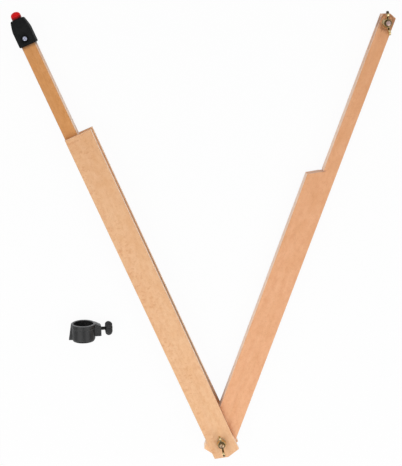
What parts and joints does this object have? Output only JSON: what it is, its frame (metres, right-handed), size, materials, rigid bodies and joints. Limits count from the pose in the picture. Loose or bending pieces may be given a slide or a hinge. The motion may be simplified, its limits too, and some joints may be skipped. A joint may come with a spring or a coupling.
{
  "type": "blackboard compass",
  "caption": "Wooden compass for a blackboard: a forked leg on a soft foot, a stepped leg whose split end pinches the chalk, wing nuts, and a loose clamp for a marker.",
  "frame": {"origin": "on the hinge axis, in the plane of the compass's back, at the centre of the flush head of the hinge bolt", "axes": "+Z along the hinge axis, out of the front where the wing nuts are; +Y from the hinge to the tips of the opened legs, the pivot leg to its left and the chalk leg to its right; +X to the chalk leg's side"},
  "size_m": [0.3809, 0.4756, 0.0358],
  "materials": {
    "cheek_beech": "thin clear varnish on beech",
    "stick_beech": "thin clear varnish on darker beech",
    "chalk_leg_beech": "thin clear varnish on pinker beech",
    "black_plastic": "moulded, satin",
    "red_rubber": "soft, satin",
    "zinc_plate": "zinc plated steel",
    "black_steel": "blackened steel, satin"
  },
  "bodies": {
    "pivot_leg": {"front_cheek": "cheek_beech", "back_cheek": "cheek_beech", "pivot_stick": "stick_beech", "foot_cap": "black_plastic", "cap_screw": "zinc_plate", "foot_tip": "red_rubber", "pivot_bolt": "zinc_plate"},
    "chalk_leg": {"chalk_leg": "chalk_leg_beech", "chalk_bolt": "zinc_plate"},
    "pivot_washer": {"pivot_washer": "zinc_plate"},
    "pivot_wing_nut": {"pivot_wing_nut": "zinc_plate"},
    "chalk_washer": {"chalk_washer": "zinc_plate"},
    "chalk_wing_nut": {"chalk_wing_nut": "zinc_plate"},
    "marker_clamp": {"clamp_body": "black_plastic"},
    "clamp_stud": {"clamp_stud": "black_steel"},
    "clamp_knob": {"clamp_knob": "black_plastic"}
  },
  "joints": [
    {"name": "leg_pivot", "type": "hinge", "parent": "pivot_leg", "child": "chalk_leg", "pos_m": [0, 0, 0.0118], "axis": [0, 0, 1], "range_deg": [-137.2, 42.5]},
    {"name": "pivot_nut_travel", "type": "slide", "parent": "pivot_leg", "child": "pivot_washer", "axis": [0, 0, 1], "range_m": [0, 0.0016]},
    {"name": "pivot_nut_turn", "type": "hinge", "parent": "pivot_washer", "child": "pivot_wing_nut", "pos_m": [0, 0, 0.0277], "axis": [0, 0, 1], "range_deg": [0, 720]},
    {"name": "chalk_nut_travel", "type": "slide", "parent": "chalk_leg", "child": "chalk_washer", "axis": [0, 0, 1], "range_m": [0, 0.0016]},
    {"name": "chalk_nut_turn", "type": "hinge", "parent": "chalk_washer", "child": "chalk_wing_nut", "pos_m": [0.15994, 0.44446, 0.0229], "axis": [0, 0, 1], "range_deg": [0, 720]},
    {"name": "clamp_lift", "type": "slide", "parent": "pivot_leg", "child": "marker_clamp", "axis": [0, 0, 1], "range_m": [0, 0.06]},
    {"name": "thumb_screw_travel", "type": "slide", "parent": "marker_clamp", "child": "clamp_stud", "axis": [-0.9818, 0, 0.19], "range_m": [0, 0.0042]},
    {"name": "thumb_screw_turn", "type": "hinge", "parent": "clamp_stud", "child": "clamp_knob", "pos_m": [-0.147, 0.1249, 0.01272], "axis": [-0.9818, 0, 0.19], "range_deg": [0, 2160]}
  ],
  "couplings": [
    {"joint": "pivot_nut_turn", "follows": "pivot_nut_travel", "rad_per_m": 7853.9},
    {"joint": "chalk_nut_turn", "follows": "chalk_nut_travel", "rad_per_m": 7853.9},
    {"joint": "thumb_screw_turn", "follows": "thumb_screw_travel", "rad_per_m": 8975.9}
  ]
}
